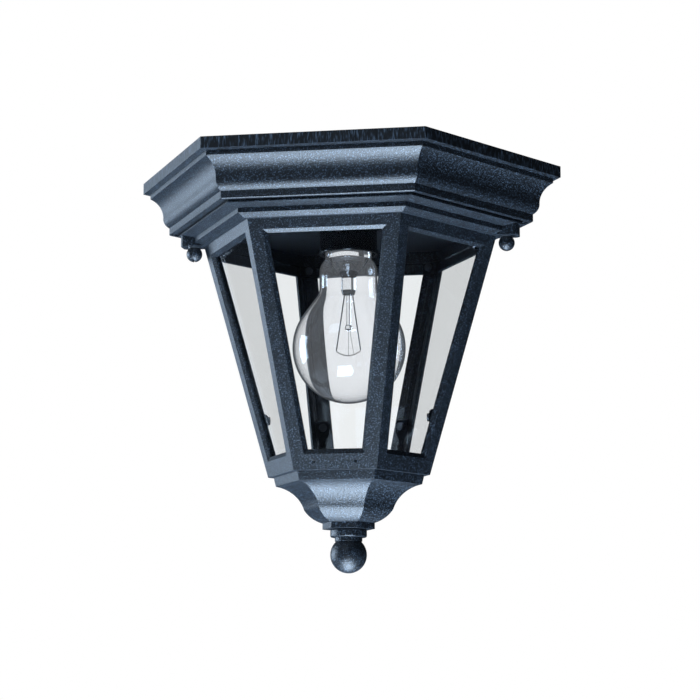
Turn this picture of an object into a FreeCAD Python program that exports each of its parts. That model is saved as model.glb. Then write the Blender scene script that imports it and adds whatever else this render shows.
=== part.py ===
# Porch ceiling lantern: a hexagonal cast-aluminium cage that hangs under a moulded ceiling canopy.
# Millimetres. The ceiling is the plane Z = 0 and everything hangs below it. The hexagons have
# corners on +X and -X, where the two ears and their ball nuts are, and flat sides on +Y and -Y.
import FreeCAD, Part
import math
import os
import Sketcher
from types import SimpleNamespace

os.makedirs("parts", exist_ok=True)
doc = FreeCAD.newDocument("PorchCeilingLantern")

# Driving dimensions. "drop" is a distance below the ceiling, "corner" a radius across a corner.
SIZES = {
    # canopy casting: crown moulding, side wall and deck
    "canopy_corner": 115.0,
    "fascia_height": 6.0,
    "lip_step": 3.5,
    "lip_slope": 0.4,
    "fillet_height": 2.5,
    "cavetto_height": 11.6,
    "cavetto_depth": 6.4,
    "cavetto_radius": 12.4,
    "ovolo_height": 5.1,
    "ovolo_depth": 3.1,
    "ovolo_radius": 6.5,
    "foot_height": 3.7,
    "foot_chamfer": 0.4,
    "foot_underside": 2.2,
    "shadow_groove_width": 2.8,
    "shadow_groove_height": 0.8,
    "deck_drop": 0.4,
    "canopy_wall": 2.8,
    "deck_thickness": 3.6,
    "deck_lap": 1.1,
    # strap that screws to the ceiling box, and what hangs the canopy on it
    "strap_end_margin": 3.55,
    "strap_width": 20.0,
    "strap_thickness": 2.0,
    "box_screw_spacing": 88.9,
    "box_slot_width": 4.8,
    "box_slot_length": 12.0,
    "wire_hole": 13.0,
    "canopy_stud_spacing": 60.0,
    "canopy_stud_diameter": 4.16,
    "canopy_stud_reach": 4.6,
    "strap_nut_flats": 8.7,
    "strap_nut_height": 2.4,
    "cap_nut_flats": 8.7,
    "cap_nut_height": 3.0,
    "cap_nut_dome": 4.0,
    "cap_nut_dome_radius": 4.44,
    "ground_screw_offset": 17.0,
    "ground_screw_diameter": 4.8,
    "ground_head_flats": 8.0,
    "ground_head_height": 2.3,
    # lampholder
    "holder_diameter": 30.8,
    "holder_top_drop": 9.5,
    "holder_floor": 3.5,
    "holder_chamber_depth": 5.0,
    "holder_chamber_step": 3.0,
    "holder_lip_depth": 3.5,
    "holder_rim_width": 0.7,
    "holder_rim_height": 2.2,
    "holder_rim_round": 0.5,
    "holder_chamfer": 1.0,
    "holder_hole_gap": 0.8,
    "screw_shell_bore": 26.9,
    "screw_shell_wall": 0.5,
    "screw_shell_length": 22.5,
    "contact_width": 6.0,
    "contact_length": 18.0,
    "contact_thickness": 0.5,
    "contact_button_radius": 3.0,
    "contact_button_height": 0.55,
    "bracket_width": 12.0,
    "bracket_thickness": 1.2,
    "bracket_foot": 9.0,
    "bracket_gap": 6.0,
    "small_screw_diameter": 2.9,
    "small_head_diameter": 5.6,
    "small_head_height": 1.8,
    "small_screw_grip": 2.9,
    "holder_screw_offset": 9.0,
    # cage casting: top flange, tapered glazed body, ears, floor ledge
    "flange_lip_corner": 95.0,
    "flange_lip": 0.6,
    "flange_underslope": 1.5,
    "flange_corner": 87.2,
    "flange_band": 2.5,
    "flange_slope": 2.0,
    "flange_ledge": 2.1,
    "cage_top_corner": 80.2,
    "cage_bottom_corner": 43.8,
    "cage_bottom_drop": 163.8,
    "cage_wall": 2.9,
    "top_rail": 5.6,
    "bottom_rail": 8.0,
    "stile_width": 6.9,
    "window_bevel": 2.1,
    "bevel_depth": 1.6,
    "ear_past_stud": 6.8,
    "ear_width": 11.0,
    "ear_round": 2.6,
    "ear_root": 3.0,
    "ear_hole_diameter": 4.7,
    "ledge_thickness": 2.4,
    "ledge_opening": 33.0,
    "weep_hole_diameter": 1.6,
    "weep_hole_offset": 11.0,
    # ball nuts on the two studs that carry the cage
    "cage_stud_clearance": 5.5,
    "cage_stud_diameter": 4.16,
    "cage_stud_grip": 7.6,
    "cage_stud_chamfer": 0.4,
    "cage_stud_end_gap": 0.4,
    "stud_boss_diameter": 10.5,
    "stud_boss_height": 5.5,
    "washer_diameter": 7.0,
    "washer_thickness": 0.5,
    "washer_hole_diameter": 4.4,
    "ball_nut_diameter": 8.6,
    "ball_nut_neck": 6.2,
    "ball_nut_height": 7.5,
    "ball_nut_bore_depth": 5.6,
    "drill_point": 0.4,
    "slot_width": 1.1,
    "slot_depth": 1.2,
    # glass panes and the stops that hold them
    "pane_thickness": 2.0,
    "pane_margin": 5.0,
    "pane_top_cover": 3.6,
    "lower_stop_drop": 129.0,
    "lower_stop_height": 17.0,
    "lower_stop_inner": 43.4,
    "lower_stop_width": 7.6,
    "lower_stop_round": 1.8,
    "upper_stop_drop": 37.6,
    "upper_stop_height": 6.4,
    "upper_stop_inner": 68.5,
    "upper_stop_width": 9.0,
    "upper_stop_round": 1.5,
    "stop_screw_diameter": 2.4,
    "stop_head_diameter": 4.4,
    "stop_head_height": 1.5,
    "stop_screw_skin": 2.0,
    "lower_screw_setback": 4.0,
    # base plate, bottom cup and finial
    "base_plate_corner": 36.6,
    "base_plate_thickness": 1.5,
    "cup_corner": 40.8,
    "cup_band_height": 4.8,
    "cup_band_taper": 1.0,
    "cup_shoulder": 2.4,
    "cup_shoulder_drop": 0.7,
    "cup_cove_height": 12.2,
    "cup_cove_depth": 11.0,
    "cup_cove_radius": 18.0,
    "cup_roll_height": 7.1,
    "cup_roll_depth": 8.4,
    "cup_roll_radius": 16.0,
    "cup_collar_corner": 14.2,
    "cup_collar_height": 3.3,
    "cup_wall": 2.6,
    "shank_diameter": 6.0,
    "shank_hole_gap": 0.3,
    "disc_diameter": 19.4,
    "disc_height": 4.3,
    "disc_round": 0.9,
    "neck_diameter": 14.6,
    "neck_height": 2.3,
    "neck_chamfer": 0.4,
    "throat_diameter": 13.74,
    "finial_ball_diameter": 19.4,
    "finial_nut_flats": 10.0,
    "finial_nut_height": 4.8,
    "shank_above_nut": 1.6,
    "shank_chamfer": 0.6,
    # lamp bulb with a 26 mm screw base
    "bulb_diameter": 60.0,
    "bulb_length": 110.5,
    "bulb_glass_wall": 0.9,
    "bulb_shoulder_angle": 36.0,
    "bulb_neck_radius": 15.6,
    "bulb_neck_round": 9.0,
    "bulb_seal_radius": 12.5,
    "bulb_seal_inside": 2.4,
    "bulb_seal_height": 8.6,
    "base_thread_radius": 13.03,
    "base_thread_depth": 0.8,
    "base_thread_pitch": 3.629,
    "base_shell_length": 21.0,
    "base_shell_wall": 0.4,
    "insulator_height": 3.6,
    "eyelet_radius": 4.7,
    "eyelet_height": 1.9,
    "stem_radius": 4.0,
    "stem_length": 27.8,
    "stem_flare_height": 18.0,
    "arbor_radius": 1.3,
    "arbor_length": 18.0,
    "lead_radius": 0.35,
    "lead_spread_top": 2.2,
    "lead_spread_bottom": 6.6,
    "lead_length": 30.0,
    "filament_sag": 2.5,
    "filament_radius": 0.35,
    # clearances
    "seat_gap": 0.05,
    "thread_gap": 0.05,
    "press_gap": 0.02,
    "clearance_hole_gap": 0.25,
    "pane_gap": 0.1,
}

CORNER_COUNT = 6
FLAT = math.cos(math.pi / CORNER_COUNT)
HALF = math.sin(math.pi / CORNER_COUNT)
CCW, CW = 1, -1

sheet = doc.addObject("Spreadsheet::Sheet", "Sizes")
for row, (alias, number) in enumerate(SIZES.items(), start=1):
    sheet.set(f"A{row}", alias)
    sheet.set(f"B{row}", str(number))
    sheet.setAlias(f"B{row}", alias)
doc.recompute()


class Size:
    """A length with its number and the expression that works it out from the sheet."""

    def __init__(self, value, text):
        self.value = value
        self.text = text

    def __add__(self, other):
        other = as_size(other)
        return Size(self.value + other.value, f"({self.text} + {other.text})")

    def __sub__(self, other):
        other = as_size(other)
        return Size(self.value - other.value, f"({self.text} - {other.text})")

    def __mul__(self, other):
        other = as_size(other)
        return Size(self.value * other.value, f"({self.text} * {other.text})")

    def __truediv__(self, other):
        other = as_size(other)
        return Size(self.value / other.value, f"({self.text} / {other.text})")

    def __neg__(self):
        return Size(-self.value, f"(-1 * {self.text})")


def as_size(number):
    return number if isinstance(number, Size) else Size(float(number), f"{float(number):.9f}")


def root(size):
    return Size(math.sqrt(size.value), f"sqrt({size.text})")


def sine(size):
    return Size(math.sin(math.radians(size.value)), f"sin({size.text} * 1deg)")


def cosine(size):
    return Size(math.cos(math.radians(size.value)), f"cos({size.text} * 1deg)")


s = SimpleNamespace(**{alias: Size(number, f"Sizes.{alias}") for alias, number in SIZES.items()})
subparts = []


# ---------------------------------------------------------------- building with sketches

def new_body(label, keep=True):
    body = doc.addObject("PartDesign::Body", label)
    body.Label = label
    if keep:
        subparts.append(body)
    return body


def origin_feature(body, role):
    return next(item for item in body.Origin.OriginFeatures if item.Role == role)


def bind(item, path, size):
    item.setExpression(path, as_size(size).text)


def new_sketch(body, name, plane, height=None):
    """An empty sketch on one of the body's planes, raised along the plane's normal by height."""
    sketch = body.newObject("Sketcher::SketchObject", name)
    sketch.AttachmentSupport = [(origin_feature(body, plane + "_Plane"), "")]
    sketch.MapMode = "FlatFace"
    if height is not None:
        height = as_size(height)
        sketch.AttachmentOffset = FreeCAD.Placement(
            FreeCAD.Vector(0, 0, height.value), FreeCAD.Rotation())
        bind(sketch, "AttachmentOffset.Base.z", height)
    return sketch


def pin_down(sketch, kind, geometry, *where_and_size):
    size = as_size(where_and_size[-1])
    index = sketch.addConstraint(
        Sketcher.Constraint(kind, geometry, *where_and_size[:-1], size.value))
    sketch.setExpression(f"Constraints[{index}]", size.text)


def arc_through(start, end, radius, turn):
    """The short arc from start to end, and whether it had to be stored end first."""
    along = end - start
    left = FreeCAD.Vector(-along.y, along.x, 0).normalize()
    depth = radius - math.sqrt(max(radius ** 2 - along.Length ** 2 / 4, 0.0))
    middle = (start + end) * 0.5 - left * depth * turn
    if turn == CCW:
        return Part.Arc(start, middle, end), False
    return Part.Arc(end, middle, start), True


def draw_outline(sketch, corners):
    """Close an outline through corners (x, y), or (x, y, radius, turn) where an arc leaves."""
    first = sketch.GeometryCount
    spots = [FreeCAD.Vector(as_size(c[0]).value, as_size(c[1]).value, 0) for c in corners]
    ends = []
    for index, corner in enumerate(corners):
        start, end = spots[index], spots[(index + 1) % len(spots)]
        if len(corner) == 4:
            curve, swapped = arc_through(start, end, as_size(corner[2]).value, corner[3])
        else:
            curve, swapped = Part.LineSegment(start, end), False
        sketch.addGeometry(curve, False)
        ends.append((2, 1) if swapped else (1, 2))
    for index, corner in enumerate(corners):
        following = (index + 1) % len(corners)
        sketch.addConstraint(Sketcher.Constraint(
            "Coincident", first + index, ends[index][1], first + following, ends[following][0]))
    for index, corner in enumerate(corners):
        pin_down(sketch, "DistanceX", first + index, ends[index][0], corner[0])
        pin_down(sketch, "DistanceY", first + index, ends[index][0], corner[1])
        if len(corner) == 4:
            pin_down(sketch, "Radius", first + index, corner[2])


def draw_circle(sketch, x, y, radius):
    x, y, radius = as_size(x), as_size(y), as_size(radius)
    index = sketch.addGeometry(
        Part.Circle(FreeCAD.Vector(x.value, y.value, 0), FreeCAD.Vector(0, 0, 1), radius.value),
        False)
    pin_down(sketch, "DistanceX", index, 3, x)
    pin_down(sketch, "DistanceY", index, 3, y)
    pin_down(sketch, "Radius", index, radius)


def hexagon(corner, start_angle=0.0):
    """Corners of a hexagon with a corner on +X, or turned by start_angle degrees."""
    turns = [math.radians(start_angle + 360.0 * k / CORNER_COUNT) for k in range(CORNER_COUNT)]
    return [(as_size(corner) * math.cos(a), as_size(corner) * math.sin(a)) for a in turns]


def rectangle(x_low, x_high, y_low, y_high):
    return [(x_low, y_low), (x_high, y_low), (x_high, y_high), (x_low, y_high)]


def pad(body, name, sketch, length, midplane=False, down=False):
    feature = body.newObject("PartDesign::Pad", name)
    feature.Profile = sketch
    feature.Length = as_size(length).value
    bind(feature, "Length", length)
    feature.Midplane = midplane
    feature.Reversed = down
    return feature


def pocket(body, name, sketch, length, forward=False, midplane=False):
    """Cut against the sketch's normal, or along it when forward."""
    feature = body.newObject("PartDesign::Pocket", name)
    feature.Profile = sketch
    feature.Length = as_size(length).value
    bind(feature, "Length", length)
    feature.Reversed = forward
    feature.Midplane = midplane
    return feature


def around(body, name, originals, count):
    """Repeat features evenly about the lantern's axis."""
    pattern = body.newObject("PartDesign::PolarPattern", name)
    pattern.Originals = originals
    pattern.Axis = (origin_feature(body, "Z_Axis"), [""])
    pattern.Angle = 360
    pattern.Occurrences = count
    body.Tip = pattern
    return pattern


def revolve(body, name, sketch):
    feature = body.newObject("PartDesign::Revolution", name)
    feature.Profile = sketch
    feature.ReferenceAxis = (sketch, ["V_Axis"])
    feature.Angle = 360
    return feature


def moulding(body, name, section, path_corner):
    """Run a moulding section round a hexagon with mitred corners, from the middle of a side."""
    path = new_sketch(body, name + "Path", "XY")
    side_middle = (as_size(0), as_size(path_corner) * FLAT)
    draw_outline(path, [side_middle] + hexagon(path_corner, 120.0))
    run = new_sketch(body, name + "Section", "YZ")
    draw_outline(run, section)
    feature = body.newObject("PartDesign::AdditivePipe", name)
    feature.Profile = run
    feature.Spine = (path, [])
    feature.Mode = "Standard"
    feature.Transition = "Right corner"
    return feature


def turned(label, outline, keep=True):
    """A piece turned about the vertical axis from half of its section."""
    body = new_body(label, keep)
    sketch = new_sketch(body, label + "Section", "XZ")
    draw_outline(sketch, outline)
    revolve(body, label + "Turned", sketch)
    return body


def place(body, x=0, y=0, turn=0):
    """Move a piece made on the vertical axis to x, y, turned by so many degrees."""
    body.Placement = FreeCAD.Placement(
        FreeCAD.Vector(as_size(x).value, as_size(y).value, 0),
        FreeCAD.Rotation(FreeCAD.Vector(0, 0, 1), turn))
    bind(body, "Placement.Base.x", x)
    bind(body, "Placement.Base.y", y)
    return body


def gather(label, bodies):
    """Like pieces kept together as one sub-part of separate solids."""
    group = doc.addObject("Part::Compound", label)
    group.Label = label
    group.Links = bodies
    subparts.append(group)
    return group


def round_edges(body, name, feature, radius, wanted):
    doc.recompute()
    names = [f"Edge{i}" for i, edge in enumerate(feature.Shape.Edges, start=1) if wanted(edge)]
    rounding = body.newObject("PartDesign::Fillet", name)
    rounding.Base = (feature, names)
    rounding.Radius = as_size(radius).value
    bind(rounding, "Radius", radius)
    return rounding


# ---------------------------------------------------------------- shared levels and places

fascia = s.canopy_corner * FLAT
fillet_flat = fascia - s.lip_step
cavetto_flat = fillet_flat - s.cavetto_depth
foot_flat = cavetto_flat - s.ovolo_depth
groove_outer_flat = foot_flat - s.foot_underside
groove_inner_flat = groove_outer_flat - s.shadow_groove_width
lip_z = -s.fascia_height
fillet_top_z = lip_z - s.lip_slope
fillet_bottom_z = fillet_top_z - s.fillet_height
cavetto_bottom_z = fillet_bottom_z - s.cavetto_height
ovolo_bottom_z = cavetto_bottom_z - s.ovolo_height
foot_bottom_z = ovolo_bottom_z - s.foot_height
foot_under_z = foot_bottom_z - s.foot_chamfer
groove_top_z = foot_under_z + s.shadow_groove_height
deck_under_z = foot_under_z - s.deck_drop
deck_top_z = deck_under_z + s.deck_thickness
canopy_inside_flat = foot_flat - s.canopy_wall

flange_top_z = deck_under_z - s.seat_gap
flange_lip_z = flange_top_z - s.flange_lip
flange_band_top_z = flange_lip_z - s.flange_underslope
flange_band_z = flange_band_top_z - s.flange_band
cage_top_z = flange_band_z - s.flange_slope
flange_height = flange_top_z - cage_top_z
cage_top_drop = -cage_top_z
cage_top_flat = s.cage_top_corner * FLAT
cage_stud_x = s.cage_top_corner + s.cage_stud_clearance
ear_reach = cage_stud_x + s.ear_past_stud
cage_bottom_flat = s.cage_bottom_corner * FLAT
cage_rise = s.cage_bottom_drop - cage_top_drop
cage_lean = cage_top_flat - cage_bottom_flat
cage_slant = root(cage_rise * cage_rise + cage_lean * cage_lean)
lean_sine = cage_lean / cage_slant
lean_cosine = cage_rise / cage_slant
wall_level = s.cage_wall / lean_cosine
lean_angle = Size(
    math.degrees(math.atan(cage_lean.value / cage_rise.value)),
    f"atan({cage_lean.text} / {cage_rise.text})")


def slant(drop):
    """Distance down the cage's sloping face, from its top edge to a drop below the ceiling."""
    return (as_size(drop) - cage_top_drop) / lean_cosine


def side_half(drop):
    """Half of one side of the cage casting at a drop below the ceiling."""
    share = (as_size(drop) - cage_top_drop) / cage_rise
    return (s.cage_top_corner - (s.cage_top_corner - s.cage_bottom_corner) * share) * HALF


def cage_corner(drop):
    return side_half(drop) / HALF


def leaning_sketch(body, name, inward):
    """A sketch on the front sloping face, moved inward; its Y axis runs up the slope."""
    sketch = new_sketch(body, name, "XZ")
    up = cage_top_z + lean_sine * inward
    out = cage_top_flat - lean_cosine * inward
    sketch.AttachmentOffset = FreeCAD.Placement(
        FreeCAD.Vector(0, up.value, out.value),
        FreeCAD.Rotation(FreeCAD.Vector(1, 0, 0), lean_angle.value))
    bind(sketch, "AttachmentOffset.Base.y", up)
    bind(sketch, "AttachmentOffset.Base.z", out)
    bind(sketch, "AttachmentOffset.Rotation.Angle", lean_angle)
    return sketch


def panel_outline(top_drop, bottom_drop, margin):
    """A four-sided outline on the sloping face, margin in from the casting's corner edges."""
    top_half, bottom_half = side_half(top_drop) - margin, side_half(bottom_drop) - margin
    top, bottom = -slant(top_drop), -slant(bottom_drop)
    return [(-bottom_half, bottom), (bottom_half, bottom), (top_half, top), (-top_half, top)]


# ---------------------------------------------------------------- canopy and what hangs it

def make_canopy():
    body = new_body("canopy")
    wall = s.canopy_wall
    section = [
        (fascia, 0),
        (fascia - wall, 0),
        (fascia - wall, lip_z + wall * 0.7),
        (fillet_flat - wall * 1.2, fillet_bottom_z),
        (cavetto_flat - wall * 0.8, fillet_bottom_z - s.cavetto_height * 0.5),
        (cavetto_flat - wall, cavetto_bottom_z),
        (canopy_inside_flat, ovolo_bottom_z),
        (canopy_inside_flat, deck_top_z),
        (groove_inner_flat - wall - s.deck_lap, deck_top_z),
        (groove_inner_flat - wall - s.deck_lap, deck_under_z),
        (groove_inner_flat, deck_under_z),
        (groove_inner_flat, groove_top_z),
        (groove_outer_flat, groove_top_z),
        (groove_outer_flat, foot_under_z),
        (foot_flat - s.foot_chamfer, foot_under_z),
        (foot_flat, foot_bottom_z),
        (foot_flat, ovolo_bottom_z, s.ovolo_radius, CCW),
        (cavetto_flat, cavetto_bottom_z, s.cavetto_radius, CW),
        (fillet_flat, fillet_bottom_z),
        (fillet_flat, fillet_top_z),
        (fascia, lip_z),
    ]
    moulding(body, "CrownMoulding", section, s.canopy_corner)

    deck = new_sketch(body, "DeckOutline", "XY", deck_under_z)
    draw_outline(deck, hexagon((groove_inner_flat - wall) / FLAT))
    pad(body, "Deck", deck, s.deck_thickness)

    boss = new_sketch(body, "StudBossOutline", "XY", deck_top_z - s.deck_thickness * 0.5)
    draw_circle(boss, cage_stud_x, 0, s.stud_boss_diameter * 0.5)
    bosses = pad(body, "StudBoss", boss, s.stud_boss_height + s.deck_thickness * 0.5)
    around(body, "StudBosses", [bosses], 2)

    stud_hole = new_sketch(body, "StudHoleOutline", "XY", cage_stud_top_z + s.press_gap)
    draw_circle(stud_hole, cage_stud_x, 0, s.cage_stud_diameter * 0.5 + s.press_gap)
    stud_holes = pocket(body, "StudHole", stud_hole, cage_stud_top_z - deck_under_z + 2)
    around(body, "StudHoles", [stud_holes], 2)

    opening = new_sketch(body, "DeckOpenings", "XY", deck_top_z + 1)
    draw_circle(opening, 0, 0, holder_radius + s.holder_hole_gap)
    for side in (1, -1):
        draw_circle(opening, 0, canopy_stud_y * side,
                    s.canopy_stud_diameter * 0.5 + s.clearance_hole_gap)
    pocket(body, "DeckOpeningsCut", opening, s.deck_thickness + 2)

    screw_hole = new_sketch(body, "BracketScrewHoles", "XY", deck_top_z + 1)
    for side in (1, -1):
        draw_circle(screw_hole, bracket_screw_x * side, 0,
                    s.small_screw_diameter * 0.5 + s.press_gap)
    body.Tip = pocket(body, "BracketScrewHolesCut", screw_hole, s.small_screw_grip + 1.1)


cage_stud_top_z = deck_under_z + s.cage_stud_grip
holder_radius = s.holder_diameter * 0.5
canopy_stud_y = s.canopy_stud_spacing * 0.5
bracket_leg_x = holder_radius + s.bracket_gap
bracket_screw_x = bracket_leg_x + s.bracket_thickness + s.bracket_foot * 0.5
strap_under_z = -s.strap_thickness


def make_strap():
    body = new_body("mounting_strap")
    outline = new_sketch(body, "StrapOutline", "XY", strap_under_z)
    half_width = s.strap_width * 0.5
    half_length = (s.box_screw_spacing + s.box_slot_length) * 0.5 + s.strap_end_margin
    draw_outline(outline, rectangle(-half_width, half_width, -half_length, half_length))
    draw_circle(outline, 0, 0, s.wire_hole * 0.5)
    draw_circle(outline, 0, -s.ground_screw_offset, s.ground_screw_diameter * 0.5 + s.press_gap)
    slot_half = s.box_slot_width * 0.5
    slot_run = (s.box_slot_length - s.box_slot_width) * 0.5
    for side in (1, -1):
        draw_circle(outline, 0, canopy_stud_y * side,
                    s.canopy_stud_diameter * 0.5 + s.press_gap)
        middle = s.box_screw_spacing * 0.5 * side
        draw_outline(outline, [
            (slot_half, middle - slot_run),
            (slot_half, middle + slot_run, slot_half, CCW),
            (0, middle + slot_run + slot_half, slot_half, CCW),
            (-slot_half, middle + slot_run),
            (-slot_half, middle - slot_run, slot_half, CCW),
            (0, middle - slot_run - slot_half, slot_half, CCW)])
    pad(body, "Strap", outline, s.strap_thickness)


def hex_nut(label, flats, height, top_z, bore_radius, keep=True):
    """A six-sided nut that hangs down from top_z."""
    body = new_body(label, keep)
    outline = new_sketch(body, label + "Outline", "XY", as_size(top_z) - height)
    draw_outline(outline, hexagon(as_size(flats) * 0.5 / FLAT))
    draw_circle(outline, 0, 0, bore_radius)
    pad(body, label + "Blank", outline, height)
    return body


def make_canopy_hangers():
    bore = s.canopy_stud_diameter * 0.5 + s.press_gap
    tip_z = deck_under_z - s.canopy_stud_reach
    studs, nuts, caps = [], [], []
    for side, hand in ((1, "Back"), (-1, "Front")):
        y = canopy_stud_y * side
        radius = s.canopy_stud_diameter * 0.5
        stud = turned("CanopyStud" + hand, rectangle(0, radius, tip_z, -s.seat_gap), keep=False)
        studs.append(place(stud, 0, y))
        nut = hex_nut("StrapNut" + hand, s.strap_nut_flats, s.strap_nut_height,
                      strap_under_z, bore, keep=False)
        nuts.append(place(nut, 0, y))
        foot = s.cap_nut_flats * 0.5
        face_z = deck_under_z
        shoulder_z = face_z - s.cap_nut_height
        bottom_z = shoulder_z - s.cap_nut_dome
        cap = turned("CapNut" + hand, [
            (bore, face_z),
            (bore, tip_z - 0.3),
            (0, tip_z - 0.3),
            (0, bottom_z, s.cap_nut_dome_radius, CCW),
            (foot * 0.9, shoulder_z),
            (foot, shoulder_z + 0.4),
            (foot, face_z)], keep=False)
        caps.append(place(cap, 0, y))
    gather("canopy_studs", studs)
    gather("strap_nuts", nuts)
    gather("canopy_cap_nuts", caps)


def make_ground_screw():
    body = new_body("ground_screw")
    shank = new_sketch(body, "GroundShank", "XY", strap_under_z)
    draw_circle(shank, 0, 0, s.ground_screw_diameter * 0.5)
    pad(body, "Shank", shank, s.strap_thickness - s.seat_gap)
    head = new_sketch(body, "GroundHead", "XY", strap_under_z)
    draw_outline(head, hexagon(s.ground_head_flats * 0.5 / FLAT))
    pad(body, "Head", head, s.ground_head_height, down=True)
    driver = new_sketch(body, "GroundDriverSlot", "XY", strap_under_z - s.ground_head_height)
    half, reach = s.slot_width * 0.5, s.ground_head_flats
    draw_outline(driver, rectangle(-reach, reach, -half, half))
    body.Tip = pocket(body, "DriverSlot", driver, s.slot_depth * 0.8, forward=True)
    place(body, 0, -s.ground_screw_offset)


def make_cage_studs():
    radius = s.cage_stud_diameter * 0.5
    tip_z = cage_top_z - s.washer_thickness - s.ball_nut_bore_depth + s.cage_stud_end_gap
    chamfer = s.cage_stud_chamfer
    studs = []
    for side, hand in ((1, "Right"), (-1, "Left")):
        stud = turned("CageStud" + hand, [
            (0, cage_stud_top_z), (0, tip_z), (radius - chamfer, tip_z), (radius, tip_z + chamfer),
            (radius, cage_stud_top_z)], keep=False)
        studs.append(place(stud, cage_stud_x * side, 0))
    gather("cage_studs", studs)


# ---------------------------------------------------------------- lampholder

shell_outer = s.screw_shell_bore * 0.5 + s.screw_shell_wall
holder_bore = shell_outer + s.press_gap
holder_floor_z = -s.holder_top_drop - s.holder_floor
shell_top_z = holder_floor_z - s.holder_chamber_depth
shell_bottom_z = shell_top_z - s.screw_shell_length
holder_rim_z = shell_bottom_z - s.holder_lip_depth


def make_lampholder():
    top_z = -s.holder_top_drop
    rim_radius = holder_radius + s.holder_rim_width
    upper_bore = holder_bore - s.holder_chamber_step
    rounding, chamfer = s.holder_rim_round, s.holder_chamfer
    body = turned("lampholder_body", [
        (0, top_z),
        (0, holder_floor_z),
        (upper_bore, holder_floor_z),
        (upper_bore, shell_top_z),
        (holder_bore, shell_top_z),
        (holder_bore, holder_rim_z + rounding),
        (holder_bore + rounding, holder_rim_z),
        (rim_radius - rounding, holder_rim_z, rounding, CCW),
        (rim_radius, holder_rim_z + rounding),
        (rim_radius, holder_rim_z + s.holder_rim_height),
        (holder_radius, holder_rim_z + s.holder_rim_height + s.holder_rim_width),
        (holder_radius, top_z - chamfer),
        (holder_radius - chamfer, top_z)])
    holes = new_sketch(body, "HolderScrewHoles", "XY", top_z + 1)
    for side in (1, -1):
        draw_circle(holes, s.holder_screw_offset * side, 0,
                    s.small_screw_diameter * 0.5 + s.press_gap)
    body.Tip = pocket(body, "HolderScrewHolesCut", holes,
                      s.small_screw_grip - s.bracket_thickness + 1.1)

    bore, wall = s.screw_shell_bore * 0.5, s.screw_shell_wall
    turned("lampholder_shell", [
        (upper_bore + wall, shell_top_z), (upper_bore + wall, shell_top_z - wall),
        (bore, shell_top_z - wall), (bore, shell_bottom_z),
        (shell_outer, shell_bottom_z), (shell_outer, shell_top_z)])

    contact = new_body("lampholder_contact")
    strip = new_sketch(contact, "ContactStrip", "XY", holder_floor_z)
    half_length, half_width = s.contact_length * 0.5, s.contact_width * 0.5
    draw_outline(strip, rectangle(-half_width, half_width, -half_length, half_length))
    pad(contact, "Strip", strip, s.contact_thickness, down=True)
    button = new_sketch(contact, "ContactButton", "XY", holder_floor_z - s.contact_thickness)
    draw_circle(button, 0, 0, s.contact_button_radius)
    pad(contact, "Button", button, s.contact_button_height, down=True)

    bracket = new_body("lampholder_bracket")
    side_view = new_sketch(bracket, "BracketSideView", "XZ")
    leg, thick = bracket_leg_x, s.bracket_thickness
    foot_x = leg + thick + s.bracket_foot
    foot_top_z = deck_top_z + thick
    bridge_z = top_z + thick
    draw_outline(side_view, [
        (-foot_x, deck_top_z), (-leg, deck_top_z), (-leg, top_z), (leg, top_z),
        (leg, deck_top_z), (foot_x, deck_top_z), (foot_x, foot_top_z),
        (leg + thick, foot_top_z), (leg + thick, bridge_z), (-(leg + thick), bridge_z),
        (-(leg + thick), foot_top_z), (-foot_x, foot_top_z)])
    pad(bracket, "Strip", side_view, s.bracket_width, midplane=True)
    drill = new_sketch(bracket, "BracketHoles", "XY", bridge_z + 1)
    for side in (1, -1):
        for x in (bracket_screw_x, s.holder_screw_offset):
            draw_circle(drill, x * side, 0, s.small_screw_diameter * 0.5 + s.press_gap)
    bracket.Tip = pocket(bracket, "BracketHolesCut", drill, bridge_z - deck_top_z + 2)

    screws = []
    for side, hand in ((1, "Right"), (-1, "Left")):
        for x, seat_z, role in ((bracket_screw_x, foot_top_z, "Foot"),
                                (s.holder_screw_offset, bridge_z, "Top")):
            head, shank = s.small_head_diameter * 0.5, s.small_screw_diameter * 0.5
            screw = turned("BracketScrew" + role + hand, [
                (0, seat_z + s.small_head_height),
                (0, seat_z - s.small_screw_grip),
                (shank, seat_z - s.small_screw_grip),
                (shank, seat_z),
                (head, seat_z),
                (head, seat_z + s.small_head_height * 0.4),
                (head * 0.6, seat_z + s.small_head_height)], keep=False)
            screws.append(place(screw, x * side, 0))
    gather("bracket_screws", screws)


# ---------------------------------------------------------------- cage

stud_hole_x = cage_stud_x
ledge_top_z = -s.cage_bottom_drop + s.ledge_thickness
window_top_drop = cage_top_drop + s.top_rail
window_bottom_drop = s.cage_bottom_drop - s.bottom_rail
stop_face = s.cage_wall + s.pane_gap + s.pane_thickness + s.pane_gap
lower_screw_drop = s.lower_stop_drop + s.lower_screw_setback
upper_screw_drop = s.upper_stop_drop + s.upper_stop_height * 0.5


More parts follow.
